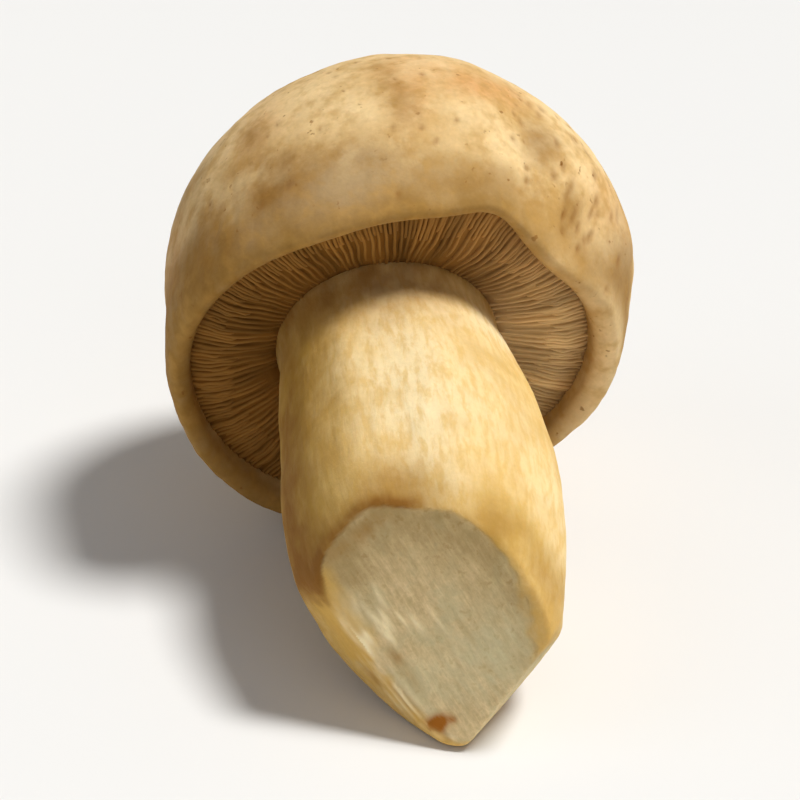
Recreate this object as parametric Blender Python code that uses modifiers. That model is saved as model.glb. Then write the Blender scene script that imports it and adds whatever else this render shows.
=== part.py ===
"""Button mushroom with an open cap, picked, trimmed with a knife and lying on its side.

Three pieces: the cap, the ring of gills under it, and the stem. Metres, +Z up, resting on z = 0.
Each piece is turned upright about its own axis, with height zero where the gills meet the stem,
and moved by formulas into its grown shape. A holder empty then lays all three on the surface.

A bearing is an angle in degrees round the mushroom's axis: 0 is the side that lies uppermost
(local -Y), and 90 is the side towards local +X.
"""
import math

import bpy
import numpy as np
from mathutils import Vector

# How it lies: the cap's side and the belly of the stem both touch the surface
LYING_PITCH = math.radians(18.5)
HOLDER_PLACE = (-0.0040, 0.0117, 0.0431)

# Cap
CAP_RADIUS = 0.0453
CAP_EQUATOR = 0.0158
CAP_DOME = 0.0402
DOME_FULLNESS = 2.2
CAP_SHIFT = (0.0040, -0.0019)
RIM_RADIUS = 0.0413
RIM_HEIGHT = -0.0060
LIP_THICKNESS = 0.0026
CAP_STEPS = 80

# Rim: leans one way and is waved by lobes, each with a bearing, a width in degrees and an amount
RIM_LEAN = 0.0017
RIM_LEAN_BEARING = 170.0
RIM_RADIUS_LOBES = ((27.0, 9.0, 0.0032), (52.0, 12.0, -0.0016), (-20.0, 25.0, -0.0005),
                    (95.0, 32.0, 0.0010))
RIM_HEIGHT_LOBES = ((-80.0, 22.0, 0.0022), (-22.0, 18.0, -0.0016), (26.0, 16.0, 0.0017),
                    (135.0, 25.0, 0.0012), (-150.0, 35.0, -0.0024))

# Dome: a soft crease above the rim's corner, a swollen lobe beside it, and slow waves all round
DOME_LOBES = ((31.0, 8.0, -0.0013), (86.0, 38.0, 0.0021), (-60.0, 30.0, 0.0002), (150.0, 40.0, -0.0006))
DOME_LOBE_TOP = 0.0420
WAVE_HEIGHT = 0.0005

# Seat: the flesh under the cap that the gills grow from, as (radius, height), outermost first
SEAT = ((0.0380, 0.0030), (0.0300, 0.0087), (0.0213, 0.0110))
GAP = 0.0004

# Gills: full ones reach the stem, and a short one stands between each two
FULL_GILLS = 60
SAMPLES_PER_GILL = 4
GILL_EDGE = ((0.0376, -0.0014), (0.0340, -0.0021), (0.0300, -0.0018), (0.0255, -0.0007), (0.0217, 0.0006))
GILL_THICKNESS = 0.00070
GILL_PLATE = 0.0016
SHORT_GILL_START = 0.0280
GILL_UNEVENNESS = 0.10
GILL_SEED = 7

# Stem: (height, radius, sideways bend) stations from the cap down to the foot
STEM_STATIONS = ((0.0106, 0.0208, 0.0), (0.0, 0.0210, 0.0), (-0.0120, 0.0226, 0.0008),
                 (-0.0250, 0.0243, 0.0015), (-0.0400, 0.0256, 0.0017), (-0.0550, 0.0248, 0.0017),
                 (-0.0680, 0.0227, 0.0016), (-0.0800, 0.0190, 0.0015), (-0.0890, 0.0134, 0.0014),
                 (-0.0950, 0.0070, 0.0014))
STEM_STEPS = 64
STEM_RINGS = 26
STEM_FLUTES = 0.0003

# Knife cuts on the foot: (outward normal, distance from the local origin) of each flat
FOOT_CUTS = {
    "broad_cut": ((-0.352, -0.453, -0.819), 0.0628),
    "right_cut": ((0.702, 0.307, -0.642), 0.0635),
    "left_cut": ((-0.785, 0.200, -0.586), 0.0530),
}
CUTTER_SIZE = 0.200

COLOURS = {"cap": (0.62, 0.43, 0.22), "gills": (0.30, 0.19, 0.10), "stem": (0.74, 0.58, 0.34)}
ROUGHNESS = {"cap": 0.55, "gills": 0.75, "stem": 0.62}


def clear_scene():
    """Remove what the opened file holds, so the model starts empty."""
    for item in list(bpy.data.objects):
        bpy.data.objects.remove(item, do_unlink=True)


def new_collection(name):
    """Return a new collection in the scene."""
    group = bpy.data.collections.new(name)
    bpy.context.scene.collection.children.link(group)
    return group


def skin(name):
    """Return the piece's own material."""
    material = bpy.data.materials.new(name)
    material.use_nodes = True
    shader = material.node_tree.nodes["Principled BSDF"]
    shader.inputs["Base Color"].default_value = (*COLOURS[name], 1.0)
    shader.inputs["Roughness"].default_value = ROUGHNESS[name]
    shader.inputs["Metallic"].default_value = 0.0
    return material


def smoothstep(low, high, value):
    """Rise from 0 at low to 1 at high with level ends."""
    t = np.clip((value - low) / (high - low), 0.0, 1.0)
    return t * t * (3.0 - 2.0 * t)


def bump(bearing, centre, width):
    """Bell of height 1 round a bearing, the shorter way round the axis."""
    away = (bearing - centre + 180.0) % 360.0 - 180.0
    return np.exp(-((away / width) ** 2))


def lobes(bearing, table):
    """Sum of the table's bells."""
    return sum(amount * bump(bearing, centre, width) for centre, width, amount in table)


def rim_radius(bearing):
    """Radius of the rim's crest."""
    lean = RIM_LEAN * np.cos(np.radians(bearing - RIM_LEAN_BEARING))
    return RIM_RADIUS + lean + lobes(bearing, RIM_RADIUS_LOBES)


def rim_height(bearing):
    """Height of the rim's crest."""
    return RIM_HEIGHT + lobes(bearing, RIM_HEIGHT_LOBES)


def through(stations, column, height):
    """Smooth curve through one column of the stations, which run from high to low."""
    table = np.array(stations)[::-1]
    places, values = table[:, 0], table[:, column]
    slopes = np.gradient(values, places)
    index = np.clip(np.searchsorted(places, height) - 1, 0, len(places) - 2)
    span = places[index + 1] - places[index]
    t = np.clip((height - places[index]) / span, 0.0, 1.0)
    start = (2 * t**3 - 3 * t**2 + 1) * values[index] + (t**3 - 2 * t**2 + t) * span * slopes[index]
    end = (3 * t**2 - 2 * t**3) * values[index + 1] + (t**3 - t**2) * span * slopes[index + 1]
    return start + end


def polar(points):
    """Split points into radius, bearing and height."""
    x, y, z = points.T
    return np.hypot(x, y), np.degrees(np.arctan2(x, -y)), z


def from_polar(radius, bearing, height):
    """Join radius, bearing and height into points."""
    angle = np.radians(bearing)
    return np.stack([radius * np.sin(angle), -radius * np.cos(angle), height], axis=1)


def turn(name, profile, steps, closed, group):
    """Turn a profile, given as (radius, height) down its outer side, about the local Z axis."""
    mesh = bpy.data.meshes.new(name)
    count = len(profile)
    edges = [(i, i + 1) for i in range(count - 1)] + ([(count - 1, 0)] if closed else [])
    mesh.from_pydata([(radius, 0.0, height) for radius, height in profile], edges, [])
    piece = bpy.data.objects.new(name, mesh)
    group.objects.link(piece)
    screw = piece.modifiers.new("turn", "SCREW")
    screw.steps = screw.render_steps = steps
    screw.use_merge_vertices = True
    screw.merge_threshold = 0.00005
    piece.data = bpy.data.meshes.new_from_object(
        piece.evaluated_get(bpy.context.evaluated_depsgraph_get()))
    piece.modifiers.clear()
    bpy.data.meshes.remove(mesh)
    piece.data.name = name
    piece.data.materials.clear()
    piece.data.materials.append(skin(name))
    return piece


def reshape(piece, formula):
    """Move every vertex of a piece by a formula on its whole array of points."""
    points = np.empty(len(piece.data.vertices) * 3)
    piece.data.vertices.foreach_get("co", points)
    piece.data.vertices.foreach_set("co", formula(points.reshape(-1, 3)).ravel())
    piece.data.update()


def follow_rim(points):
    """Carry the waves of the rim into the brim, the lip and the gills, fading at neck and equator."""
    radius, bearing, height = polar(points)
    neck = SEAT[-1][0]
    reach = np.clip((radius - neck) / (RIM_RADIUS - neck), 0.0, 1.0)
    weight = reach * (1.0 - smoothstep(RIM_HEIGHT, CAP_EQUATOR, height))
    radius = radius + (rim_radius(bearing) - RIM_RADIUS) * weight
    height = height + (rim_height(bearing) - RIM_HEIGHT) * weight
    return from_polar(radius, bearing, height)


def swell_dome(points):
    """Shift the dome off the stem's axis and raise its lobes, leaving the seat as it is."""
    radius, bearing, height = polar(points)
    top = CAP_EQUATOR + CAP_DOME
    outside = smoothstep(0.85, 1.0, np.hypot(radius / CAP_RADIUS, height / top))
    above = smoothstep(RIM_HEIGHT, CAP_EQUATOR, height)
    fade = 1.0 - smoothstep(CAP_EQUATOR, DOME_LOBE_TOP, height)
    wave = WAVE_HEIGHT * np.sin(np.radians(3.0 * bearing + 40.0)) * np.sin(height / top * math.pi)
    rise = (lobes(bearing, DOME_LOBES) * fade + wave) * outside
    moved = from_polar(radius + rise, bearing, height)
    moved[:, 0] += CAP_SHIFT[0] * outside * above
    moved[:, 1] += CAP_SHIFT[1] * outside * above
    return moved


def cap_profile():
    """Dome, brim, rounded lip and seat, from the top round to the middle of the underside."""
    power = 2.0 / DOME_FULLNESS
    profile = []
    for angle in np.radians(np.linspace(0.0, 90.0, 11)):
        profile.append((CAP_RADIUS * math.sin(angle) ** power,
                        CAP_EQUATOR + CAP_DOME * max(math.cos(angle), 0.0) ** power))
    for angle in np.radians(np.linspace(0.0, 90.0, 8)[1:]):
        profile.append((CAP_RADIUS - (CAP_RADIUS - RIM_RADIUS) * (1.0 - math.cos(angle)),
                        CAP_EQUATOR - (CAP_EQUATOR - RIM_HEIGHT) * math.sin(angle)))
    for angle in np.radians((35.0, 65.0, 90.0)):
        profile.append((RIM_RADIUS - LIP_THICKNESS * math.sin(angle),
                        RIM_HEIGHT + LIP_THICKNESS * (1.0 - math.cos(angle))))
    return profile + list(SEAT) + [(0.0, SEAT[-1][1])]


def build_cap(group):
    """Thick domed cap with an inrolled lip round the gills."""
    cap = turn("cap", cap_profile(), CAP_STEPS, False, group)
    reshape(cap, follow_rim)
    reshape(cap, swell_dome)
    return cap


def seat_height(radius):
    """Height of the gill ring's back at a radius."""
    table = np.array(SEAT)[::-1] - GAP
    return np.interp(radius, table[:, 0], table[:, 1])


def raise_gills(points):
    """Sink the valleys between the gills into the ring, and set each gill's thickness."""
    radius, bearing, height = polar(points)
    samples = 2 * FULL_GILLS * SAMPLES_PER_GILL
    step = 360.0 / samples
    sample = np.rint(bearing / step).astype(int) % samples
    gill, place = sample // SAMPLES_PER_GILL, sample % SAMPLES_PER_GILL
    uneven = np.random.default_rng(GILL_SEED).uniform(-1.0, 1.0, 2 * FULL_GILLS)[gill]
    middle = (gill + 0.5 + GILL_UNEVENNESS * uneven) * step * SAMPLES_PER_GILL
    half = np.degrees(GILL_THICKNESS / 2.0 / radius)
    valley = (gill + np.where(place == 0, 0.0, 1.0)) * step * SAMPLES_PER_GILL
    side = np.where(place < 2, -1.0, 1.0)
    on_gill = (place == 1) | (place == 2)
    valley_half = np.where(place == 0, half, -half)
    turned = np.where(on_gill, middle + side * half, valley + valley_half)
    under = height < seat_height(radius) - GILL_PLATE
    short = (gill % 2 == 1) & (radius < SHORT_GILL_START)
    sunk = under & (~on_gill | short)
    height = np.where(sunk, seat_height(radius) - GILL_PLATE, height)
    return from_polar(radius, turned, height)


def build_gills(group):
    """Ring of gills: a thin plate along the seat with the blades standing down from it."""
    neck = SEAT[-1][0] + GAP / 2.0
    back = [(neck, SEAT[-1][1] - GAP)] + [(r - GAP, z - GAP) for r, z in SEAT[1::-1]]
    ring = turn("gills", back + list(GILL_EDGE), 2 * FULL_GILLS * SAMPLES_PER_GILL, True, group)
    reshape(ring, raise_gills)
    reshape(ring, follow_rim)
    return ring


def bend_stem(points):
    """Lean the stem sideways along its length and give its skin shallow flutes."""
    radius, bearing, height = polar(points)
    flutes = np.sin(np.radians(7.0 * bearing)) + 0.6 * np.sin(np.radians(11.0 * bearing + 50.0))
    depth = STEM_FLUTES * (1.0 - smoothstep(-0.020, -0.002, height)) * radius / CAP_RADIUS * 2.0
    moved = from_polar(radius + depth * flutes, bearing, height)
    moved[:, 0] += through(STEM_STATIONS, 2, height)
    return moved


def knife(name, normal, distance, group):
    """Block whose flat face lies on a knife cut and which fills all beyond it."""
    bpy.ops.mesh.primitive_cube_add(size=CUTTER_SIZE)
    block = bpy.context.object
    block.name = name
    for owner in list(block.users_collection):
        owner.objects.unlink(block)
    group.objects.link(block)
    outward = Vector(normal).normalized()
    block.rotation_euler = outward.to_track_quat("Z", "Y").to_euler()
    block.location = outward * (distance + CUTTER_SIZE / 2.0)
    block.hide_render = True
    block.display_type = "WIRE"
    return block


def cut(piece, cutter):
    """Take a cutter away from a piece."""
    step = piece.modifiers.new(cutter.name, "BOOLEAN")
    step.operation = "DIFFERENCE"
    step.solver = "EXACT"
    step.object = cutter


def build_stem(group):
    """Stout stem, swollen in the middle, turned down to a blunt foot."""
    top, bottom = STEM_STATIONS[0][0], STEM_STATIONS[-1][0]
    heights = np.linspace(top, bottom, STEM_RINGS)
    radii = through(STEM_STATIONS, 1, heights)
    profile = [(0.0, top)] + list(zip(radii.tolist(), heights.tolist())) + [(0.0, bottom)]
    stem = turn("stem", profile, STEM_STEPS, False, group)
    reshape(stem, bend_stem)
    return stem


def main():
    """Build the mushroom and lay it down."""
    clear_scene()
    group, cutters = new_collection("button_mushroom"), new_collection("cutters")
    cap, gills, stem = build_cap(group), build_gills(group), build_stem(group)

    holder = bpy.data.objects.new("mushroom_axis", None)
    group.objects.link(holder)
    holder.rotation_euler = (LYING_PITCH - math.pi / 2.0, 0.0, 0.0)
    holder.location = HOLDER_PLACE
    for name, (normal, distance) in FOOT_CUTS.items():
        block = knife(name, normal, distance, cutters)
        block.parent = holder
        cut(stem, block)
    ground = knife("ground", (0.0, 0.0, -1.0), 0.0, cutters)
    for piece in (cap, gills, stem):
        piece.parent = holder
        piece.data.shade_smooth()
        piece.data.set_sharp_from_angle(angle=math.radians(40.0))
    for piece in (cap, stem):
        cut(piece, ground)


main()
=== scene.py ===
"""Looks of a large button mushroom, picked, trimmed with a knife and lying on its side.

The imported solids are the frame. Each of the three (cap, gills, stem) gets a finer piece here, worked
out from the same sizes: a turned form, moved by formulas, then laid down on the surface. Local points
have z along the mushroom's axis, zero where the gills meet the stem. A bearing is an angle in degrees
round that axis: 0 is the side that lies uppermost (local -Y) and 90 is the side towards local +X.
"""
import logging
import math
from dataclasses import dataclass, field
from enum import Enum
from typing import Any, Union

import bpy
import numpy as np
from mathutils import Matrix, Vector


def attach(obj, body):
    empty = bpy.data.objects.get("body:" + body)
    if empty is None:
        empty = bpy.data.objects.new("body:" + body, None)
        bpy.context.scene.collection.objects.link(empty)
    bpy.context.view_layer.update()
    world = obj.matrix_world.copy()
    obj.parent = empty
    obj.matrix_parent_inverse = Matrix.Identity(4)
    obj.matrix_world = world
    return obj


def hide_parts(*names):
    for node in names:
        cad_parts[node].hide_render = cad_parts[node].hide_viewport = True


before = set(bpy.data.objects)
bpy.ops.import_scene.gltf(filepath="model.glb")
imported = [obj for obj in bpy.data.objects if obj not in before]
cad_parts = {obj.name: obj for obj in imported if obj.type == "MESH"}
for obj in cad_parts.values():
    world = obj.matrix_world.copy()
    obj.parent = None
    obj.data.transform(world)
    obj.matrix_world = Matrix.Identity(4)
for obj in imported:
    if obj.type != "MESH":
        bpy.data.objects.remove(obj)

Array = np.ndarray
Colour = tuple[float, float, float]
Line = tuple[float, float, float]
BODY = "root"
MM = 0.001
NO_TRIANGLES = np.empty((0, 3), int)
LOG = logging.getLogger("mushroom")


class Slot(Enum):
    """Names of the record's material slots; nothing in the script reads them, as each piece's finish is
    made here.
    """

    CAP = "cap_skin"
    GILLS = "gill_flesh"
    STEM = "stem_flesh"


class Layer(Enum):
    """Values kept on the points of a piece for its finish to read."""

    ORANGE = "orange"
    # On the cap, brown stains; on the gills, painted shade by the stem and the lip; on the stem, stains
    # and painted shade.
    BROWN = "brown"
    # On the cap, grey patches; on the stem's cut, browner flesh with painted shade on the far edge.
    GREY = "grey"
    # On the cap, pale patches; on the gills, painted light on the side that opens; on the stem, cream
    # with painted light.
    PALE = "pale"
    # Dark ochre by the cap's rim and on the stem's left side, partly the flesh's own and partly painted
    # shade.
    RIM = "rim"
    SPECK = "speck"
    # Depth, which colours painted shade between the gills and in the stem's torn grooves and dark marks.
    DEPTH = "depth"
    CUT = "cut"
    STRIP = "strip"
    COOL = "cool"
    # Torn ridges on the cut, whose colour is partly a painted highlight.
    RIDGE = "ridge"
    TONE = "tone"
    GRAIN = "grain"


def rise(low: float, high: float, value: Array) -> Array:
    """Smooth step from 0 at low to 1 at high, level at both ends.

    Args:
        low: Value where the step starts.
        high: Value where it ends.
        value: Where to read it.

    Returns:
        The step, as 3t^2 - 2t^3 with t the clipped share of the way.
    """
    t = np.clip((value - low) / (high - low), 0.0, 1.0)
    return t * t * (3.0 - 2.0 * t)


def bell(value: Array, centre: float, width: float) -> Array:
    """Bell of height 1 at the centre: e to the minus square of the distance in widths."""
    return np.exp(-(((value - centre) / width) ** 2))


def bearing_bell(bearing: Array, centre: float, width: float) -> Array:
    """Bell round a bearing, measured the shorter way round the axis."""
    return bell((bearing - centre + 180.0) % 360.0 - 180.0, 0.0, width)


def polar(points: Array) -> tuple[Array, Array, Array]:
    """Split points into radius, bearing in degrees and height."""
    x, y, z = points[..., 0], points[..., 1], points[..., 2]
    return np.hypot(x, y), np.degrees(np.arctan2(x, -y)), z


def from_polar(radius: Array, bearing: Array, height: Array) -> Array:
    """Join radius, bearing and height into points.

    Args:
        radius: Distances from the axis.
        bearing: Angles round it in degrees.
        height: Heights along it.

    Returns:
        The points.
    """
    angle = np.radians(bearing)
    parts = np.broadcast_arrays(radius * np.sin(angle), -radius * np.cos(angle), height)
    return np.stack(parts, axis=-1)


def outward(rows: Array) -> Array:
    """Unit normals of a wrapped grid: the way down the rows crossed with the way round them.

    Args:
        rows: Grid of points, rows down and columns round.

    Returns:
        A grid of unit vectors.
    """
    normal = np.cross(np.gradient(rows, axis=0), np.roll(rows, -1, axis=1) - np.roll(rows, 1, axis=1))
    return normal / np.linalg.norm(normal, axis=-1, keepdims=True).clip(1e-12)


def even_bearings(count: int) -> Array:
    """Bearings of the columns of a grid, from 0 and evenly round."""
    return np.arange(count) * 360.0 / count


def even_spacing(profile: Array, count: int) -> Array:
    """Read a profile again at points that lie evenly along its length.

    Args:
        profile: Points of the profile, one a row.
        count: How many points to return.

    Returns:
        The resampled profile.
    """
    steps = np.linalg.norm(np.diff(profile, axis=0), axis=1)
    along = np.concatenate([[0.0], np.cumsum(steps)])
    places = np.linspace(0.0, along[-1], count)
    return np.stack([np.interp(places, along, column) for column in profile.T], axis=1)


@dataclass(frozen=True)
class Grain:
    """Seeded lattice noise, smooth between whole-number cells."""

    seed: int
    step: float = 0.37

    def _corner(self, cell: Array) -> Array:
        """Hash whole-number cells: each number times a constant of its own, mixed by bits.

        Args:
            cell: Whole numbers, three to a cell.

        Returns:
            Values from -1 to 1.
        """
        x, y, z = (cell[..., k].astype(np.uint32) for k in range(3))
        mixed = x * np.uint32(0x8DA6B343) ^ y * np.uint32(0xD8163841) ^ z * np.uint32(0xCB1AB31F)
        mixed = mixed ^ np.uint32(self.seed * 2654435761 & 0xFFFFFFFF)
        mixed = (mixed ^ (mixed >> np.uint32(15))) * np.uint32(0x2C1B3C6D)
        mixed = (mixed ^ (mixed >> np.uint32(12))) * np.uint32(0x297A2D39)
        mixed = mixed ^ (mixed >> np.uint32(15))
        return mixed.astype(float) / 2147483647.5 - 1.0

    def value(self, points: Array, size: float) -> Array:
        """Noise whose cells' corners are blended with 6t^5 - 15t^4 + 10t^3.

        Args:
            points: Where to read it.
            size: Size of a cell.

        Returns:
            Values from -1 to 1.
        """
        place = points / size
        cell = np.floor(place).astype(np.int64)
        t = place - cell
        blend = t * t * t * (t * (6.0 * t - 15.0) + 10.0)
        total = np.zeros(points.shape[:-1])
        for corner in np.ndindex(2, 2, 2):
            share = np.prod(np.where(corner, blend, 1.0 - blend), axis=-1)
            total = total + share * self._corner(cell + np.array(corner))
        return total

    def fractal(self, points: Array, size: float, octaves: int) -> Array:
        """Sum of ever finer noise, each octave half the size and half the strength.

        Args:
            points: Where to read it.
            size: Size of the first octave's cells.
            octaves: How many to sum.

        Returns:
            Values about 0.
        """
        total = np.zeros(points.shape[:-1])
        for octave in range(octaves):
            share = 0.5 ** octave
            total = total + share * self.value(points + octave * self.step, size * share)
        return total


@dataclass(frozen=True)
class Lobe:
    """A swelling or a tint round one bearing, with a width in degrees and an amount at its top."""

    bearing: float
    width: float
    amount: float

    def at(self, bearing: Array) -> Array:
        """Its amount at each bearing."""
        return self.amount * bearing_bell(bearing, self.bearing, self.width)


def lobes_at(lobes: tuple[Lobe, ...], bearing: Array) -> Array:
    """Sum of some lobes at each bearing."""
    return sum(lobe.at(bearing) for lobe in lobes)


@dataclass(frozen=True)
class Swing:
    """A swing to and fro by noise: its seed, its cell size, its amount and its octaves."""

    seed: int
    size: float
    amount: float
    octaves: int = 1

    def at(self, points: Array) -> Array:
        """The swing at each point."""
        return self.amount * Grain(self.seed).fractal(points, self.size, self.octaves)


@dataclass(frozen=True)
class Relief:
    """Unevenness of a surface as a sum of noises, one a row of four numbers.

    A row is the noise's seed, its cell size and its height in millimetres, and how much of z it
    reads: less than 1 draws its cells out along the stem.
    """

    rows: tuple[tuple[int, float, float, float], ...]

    def at(self, points: Array) -> Array:
        """Height in metres at each point."""
        return sum(height * MM * Grain(seed).fractal(points * np.array([1.0, 1.0, along]), size * MM, 2)
                   for seed, size, height, along in self.rows)


@dataclass(frozen=True)
class Marks:
    """Soft-edged marks on a piece, one a row of five numbers.

    On skin a row is bearing, height, width, reach and strength: angles in degrees, the rest in
    millimetres. On a cut it is the place along the broad cut's left edge, the distance inward from
    the left cut, length, width and strength, all but the strength in millimetres.
    """

    rows: tuple[tuple[float, float, float, float, float], ...]

    def on_skin(self, bearing: Array, height: Array) -> Array:
        """Sum of the marks by bearing and height, each the product of two bells."""
        return sum(strength * bearing_bell(bearing, middle, wide) * bell(height, level * MM, tall * MM)
                   for middle, level, wide, tall, strength in self.rows)

    def on_cut(self, along: Array, inward: Array) -> Array:
        """Sum of the marks by place along and distance inward, each the product of two bells."""
        return sum(strength * bell(along, middle * MM, long * MM) * bell(inward, level * MM, wide * MM)
                   for middle, level, long, wide, strength in self.rows)


@dataclass(frozen=True)
class Tint:
    """All the marks of one tint, whose edges are torn by noise of the given size in metres."""

    layer: Layer
    seed: int
    size: float
    marks: Marks
    cover: float = 1.5
    tear: float = 0.40

    def paint(self, points: Array, bearing: Array, height: Array) -> Array:
        """Strength of the tint: 1 less e to the minus the marks' sum, made uneven by noise."""
        uneven = (1.0 + self.tear * Grain(self.seed).fractal(points, self.size, 3)).clip(0.0)
        return 1.0 - np.exp(-self.cover * self.marks.on_skin(bearing, height) * uneven)


@dataclass(frozen=True)
class Lying:
    """How the mushroom lies: its axis rises from foot to cap, and its lowest places are flat."""

    pitch: float = math.radians(18.5)
    place: tuple[float, float, float] = (-0.0040, 0.0117, 0.0431)

    def lay_down(self, points: Array) -> Array:
        """Turn local points about X, move them to their place, and flatten what would sink in.

        The turn is y' = y sin p + z cos p and z' = z sin p - y cos p, with p the pitch.

        Args:
            points: Local points.

        Returns:
            The points in the world, none below the surface.
        """
        x, y, z = points[..., 0], points[..., 1], points[..., 2]
        sine, cosine = math.sin(self.pitch), math.cos(self.pitch)
        laid = np.stack([x, y * sine + z * cosine, z * sine - y * cosine], axis=-1)
        laid = laid + np.array(self.place)
        laid[..., 2] = np.maximum(laid[..., 2], 0.0)
        return laid


@dataclass(frozen=True)
class Rim:
    """The cap's waved rim, which the lip and the gills follow."""

    radius: float = 0.0413
    height: float = -0.0060
    lean: float = 0.0017
    lean_bearing: float = 170.0
    neck: float = 0.0213
    equator: float = 0.0158
    radius_lobes: tuple[Lobe, ...] = (Lobe(27.0, 9.0, 0.0032), Lobe(52.0, 12.0, -0.0016),
                                      Lobe(-20.0, 25.0, -0.0005), Lobe(95.0, 32.0, 0.0010))
    height_lobes: tuple[Lobe, ...] = (Lobe(-80.0, 22.0, 0.0022), Lobe(-22.0, 18.0, -0.0016),
                                      Lobe(26.0, 16.0, 0.0017), Lobe(135.0, 25.0, 0.0012),
                                      Lobe(-150.0, 35.0, -0.0024))

    def carry(self, points: Array) -> Array:
        """Move points as the rim waves, in full at the rim and not at all at neck and equator.

        Args:
            points: Local points of the even, turned form.

        Returns:
            The points, moved in radius and in height.
        """
        radius, bearing, height = polar(points)
        reach = np.clip((radius - self.neck) / (self.radius - self.neck), 0.0, 1.0)
        weight = reach * (1.0 - rise(self.height, self.equator, height))
        lean = self.lean * np.cos(np.radians(bearing - self.lean_bearing))
        wider = lean + lobes_at(self.radius_lobes, bearing)
        return from_polar(radius + wider * weight, bearing,
                          height + lobes_at(self.height_lobes, bearing) * weight)


class Draft:
    """Vertex arrays, faces and point layers of one piece, gathered before its mesh is made."""

    def __init__(self) -> None:
        """Start empty."""
        self.points: list[Array] = []
        self.quads: list[Array] = []
        self.triangles: list[Array] = []
        self.layers: dict[Layer, list[Array]] = {}
        self.count = 0

    def add(self, points: Array, quads: Array, triangles: Array, layers: dict[Layer, Array]) -> None:
        """Add a body.

        Args:
            points: Its points, in an array of any shape that ends in 3.
            quads: Its four-sided faces, numbered from its own first point.
            triangles: Its triangles, numbered likewise.
            layers: Its values, each at all of the points.
        """
        flat = points.reshape(-1, 3)
        self.points.append(flat)
        self.quads.append(quads + self.count)
        self.triangles.append(triangles + self.count)
        for layer, values in layers.items():
            self.layers.setdefault(layer, []).append(values.reshape(len(flat), -1).squeeze())
        self.count += len(flat)

    def add_turned(self, rows: Array, layers: dict[Layer, Array]) -> None:
        """Add a closed body from a grid that wraps round, with a pole at its first and last row.

        Args:
            rows: Grid of points, rows from the top pole down, columns by rising bearing.
            layers: Values on the same grid.
        """
        height, width = rows.shape[:2]
        index = np.arange(height * width).reshape(height, width)
        after = np.roll(index, -1, axis=1)
        quads = np.stack([index[:-1], index[1:], after[1:], after[:-1]], axis=-1).reshape(-1, 4)
        top, bottom = height * width, height * width + 1
        fan_top = np.stack([np.full(width, top), index[0], after[0]], axis=-1)
        fan_bottom = np.stack([index[-1], np.full(width, bottom), after[-1]], axis=-1)
        poles = np.stack([rows[0].mean(axis=0), rows[-1].mean(axis=0)])
        points = np.concatenate([rows.reshape(-1, 3), poles])
        spread = {layer: self._with_poles(values) for layer, values in layers.items()}
        self.add(points, quads, np.concatenate([fan_top, fan_bottom]), spread)

    def add_ring(self, rows: Array, layers: dict[Layer, Array]) -> None:
        """Add a ring body from a grid that wraps both round the axis and round its own section.

        Args:
            rows: Grid of points, rows round the section, columns by rising bearing.
            layers: Values on the same grid.
        """
        height, width = rows.shape[:2]
        index = np.arange(height * width).reshape(height, width)
        below, after = np.roll(index, -1, axis=0), np.roll(index, -1, axis=1)
        quads = np.stack([index, below, np.roll(below, -1, axis=1), after], axis=-1).reshape(-1, 4)
        self.add(rows, quads, NO_TRIANGLES, layers)

    @staticmethod
    def _with_poles(values: Array) -> Array:
        """Flatten a grid of values and give each pole the mean of its ring."""
        ends = np.stack([values[0].mean(axis=0), values[-1].mean(axis=0)])
        return np.concatenate([values.reshape(-1, *values.shape[2:]), ends])

    def piece(self, name: str, lying: Lying) -> bpy.types.Object:
        """Lay the gathered points down and make the piece's object from them.

        Args:
            name: Name of the piece.
            lying: How the mushroom lies.

        Returns:
            The new object, at the origin, shaded smooth.
        """
        points = lying.lay_down(np.concatenate(self.points))
        quads, triangles = np.concatenate(self.quads), np.concatenate(self.triangles)
        corners = np.concatenate([quads.ravel(), triangles.ravel()])
        starts = np.concatenate([np.arange(len(quads)) * 4,
                                 len(quads) * 4 + np.arange(len(triangles)) * 3])
        mesh = bpy.data.meshes.new(name)
        mesh.vertices.add(len(points))
        mesh.vertices.foreach_set("co", points.ravel())
        mesh.loops.add(len(corners))
        mesh.loops.foreach_set("vertex_index", corners)
        mesh.polygons.add(len(starts))
        mesh.polygons.foreach_set("loop_start", starts)
        mesh.update(calc_edges=True)
        for layer, parts in self.layers.items():
            values = np.concatenate(parts)
            kind, key = ("FLOAT", "value") if values.ndim == 1 else ("FLOAT_VECTOR", "vector")
            store = mesh.attributes.new(layer.value, kind, "POINT")
            store.data.foreach_set(key, values.ravel())
        mesh.shade_smooth()
        piece = bpy.data.objects.new(name, mesh)
        bpy.context.scene.collection.objects.link(piece)
        return piece


class Signal:
    """A shader socket that adds Math nodes when it is used in an expression."""

    def __init__(self, graph: "Graph", socket: bpy.types.NodeSocket) -> None:
        """Wrap a socket of a graph."""
        self.graph = graph
        self.socket = socket

    def _math(self, operation: str, first: "Value", second: "Value" = 0.0) -> "Signal":
        """Add one Math node."""
        return self.graph.node("ShaderNodeMath", {"operation": operation}, {0: first, 1: second})

    def __add__(self, other: "Value") -> "Signal":
        """Sum."""
        return self._math("ADD", self, other)

    __radd__ = __add__

    def __sub__(self, other: "Value") -> "Signal":
        """Difference."""
        return self._math("SUBTRACT", self, other)

    def __rsub__(self, other: "Value") -> "Signal":
        """Difference the other way round."""
        return self._math("SUBTRACT", other, self)

    def __mul__(self, other: "Value") -> "Signal":
        """Product."""
        return self._math("MULTIPLY", self, other)

    __rmul__ = __mul__

    def band(self, low: float, high: float) -> "Signal":
        """Smooth step of the signal from 0 at low to 1 at high."""
        return self.graph.node("ShaderNodeMapRange", {"interpolation_type": "SMOOTHSTEP"},
                               {"Value": self, "From Min": low, "From Max": high})


Value = Union[float, Signal]


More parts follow.
